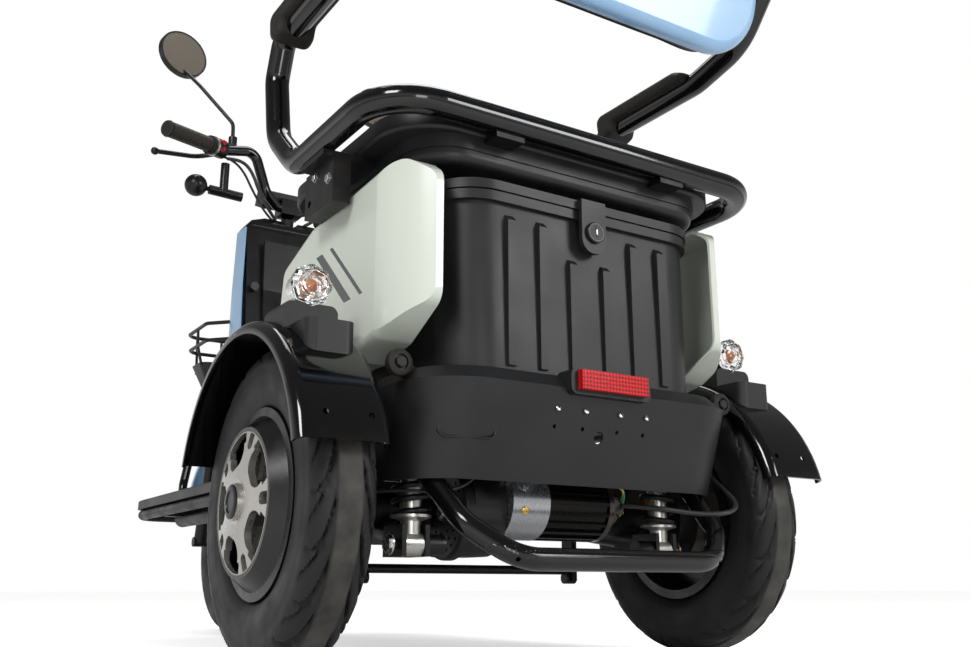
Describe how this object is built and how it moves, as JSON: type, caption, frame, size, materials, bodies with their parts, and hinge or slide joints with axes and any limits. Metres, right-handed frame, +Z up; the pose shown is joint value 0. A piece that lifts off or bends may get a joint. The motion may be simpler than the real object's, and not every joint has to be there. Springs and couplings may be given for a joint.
{
  "type": "electric tricycle",
  "caption": "One-rider electric tricycle with cushioned armrest seat, lockable trunk under the seat, rear drive and steered front wheel.",
  "frame": {"origin": "on the ground under the middle of the vehicle's length and width", "axes": "+Y forward, +X to the rider's right, +Z up"},
  "size_m": [0.772, 1.6278, 1.2922],
  "materials": {
    "tyre_rubber": "moulded tread, satin sidewall",
    "cast_alloy": "silver lacquered casting",
    "gloss_black_tube": "gloss powder coat",
    "black_steel": "satin paint",
    "dark_panel": "grained moulding",
    "gloss_black_plastic": "polished moulding",
    "light_blue_panel": "gloss lacquer",
    "grey_white_panel": "gloss lacquer",
    "seat_vinyl": "black coated fabric",
    "motor_metal": "turned and ribbed",
    "black_rubber": "moulded grip",
    "clear_lens": "faceted clear lens",
    "red_reflector": "prismatic red",
    "mirror_glass": "silvered"
  },
  "bodies": {
    "chassis": {"rear_axle": "black_steel", "drive_motor": "motor_metal", "gear_guard": "black_steel", "shock_absorbers": "black_steel", "brake_linkage": "black_steel", "frame": "black_steel", "floorboard": "dark_panel", "floor_rails": "black_steel", "leg_shield": "dark_panel", "front_shell": "light_blue_panel", "headlight": "clear_lens", "front_basket": "black_steel", "front_guard": "gloss_black_tube", "trunk_tub": "dark_panel", "side_pods": "grey_white_panel", "rear_fascia": "dark_panel", "rear_reflector": "red_reflector", "rear_fenders": "gloss_black_plastic", "rear_lamps": "clear_lens", "lamp_brackets": "black_steel", "step_tube": "gloss_black_tube", "battery": "black_steel", "under_seat_cover": "dark_panel", "motor_lead": "black_rubber", "brake_cable": "black_rubber"},
    "steering": {"fork": "black_steel", "front_mudguard": "light_blue_panel", "handlebar": "gloss_black_tube", "grips": "black_rubber", "brake_levers": "black_steel", "front_indicators": "dark_panel", "mirrors": "mirror_glass", "meter": "dark_panel"},
    "front_wheel_body": {"front_wheel": "cast_alloy", "front_tyre": "tyre_rubber"},
    "rear_wheel_left_body": {"rear_wheel_left": "cast_alloy", "rear_tyre_left": "tyre_rubber"},
    "rear_wheel_right_body": {"rear_wheel_right": "cast_alloy", "rear_tyre_right": "tyre_rubber"},
    "seat": {"seat_pan": "dark_panel", "seat_cushion": "seat_vinyl", "rear_rail": "gloss_black_tube", "arm_hoop": "gloss_black_tube", "seat_brackets": "black_steel", "backrest_shell": "light_blue_panel", "backrest_cushion": "seat_vinyl", "armrest_pads": "seat_vinyl", "trunk_lid": "dark_panel"}
  },
  "joints": [
    {"name": "steering", "type": "hinge", "parent": "chassis", "child": "steering", "pos_m": [0, 0.49823, 0.57112], "axis": [0, -0.2419, 0.9703], "range_deg": [-38, 38]},
    {"name": "front_wheel", "type": "hinge", "parent": "steering", "child": "front_wheel_body", "pos_m": [0, 0.595, 0.183], "axis": [1, 0, 0], "continuous": true},
    {"name": "rear_wheel_left", "type": "hinge", "parent": "chassis", "child": "rear_wheel_left_body", "pos_m": [-0.318, -0.45, 0.183], "axis": [1, 0, 0], "continuous": true},
    {"name": "rear_wheel_right", "type": "hinge", "parent": "chassis", "child": "rear_wheel_right_body", "pos_m": [0.318, -0.45, 0.183], "axis": [1, 0, 0], "continuous": true},
    {"name": "seat_tip", "type": "hinge", "parent": "chassis", "child": "seat", "pos_m": [0, -0.245, 0.59], "axis": [-1, 0, 0], "range_deg": [0, 62]}
  ]
}
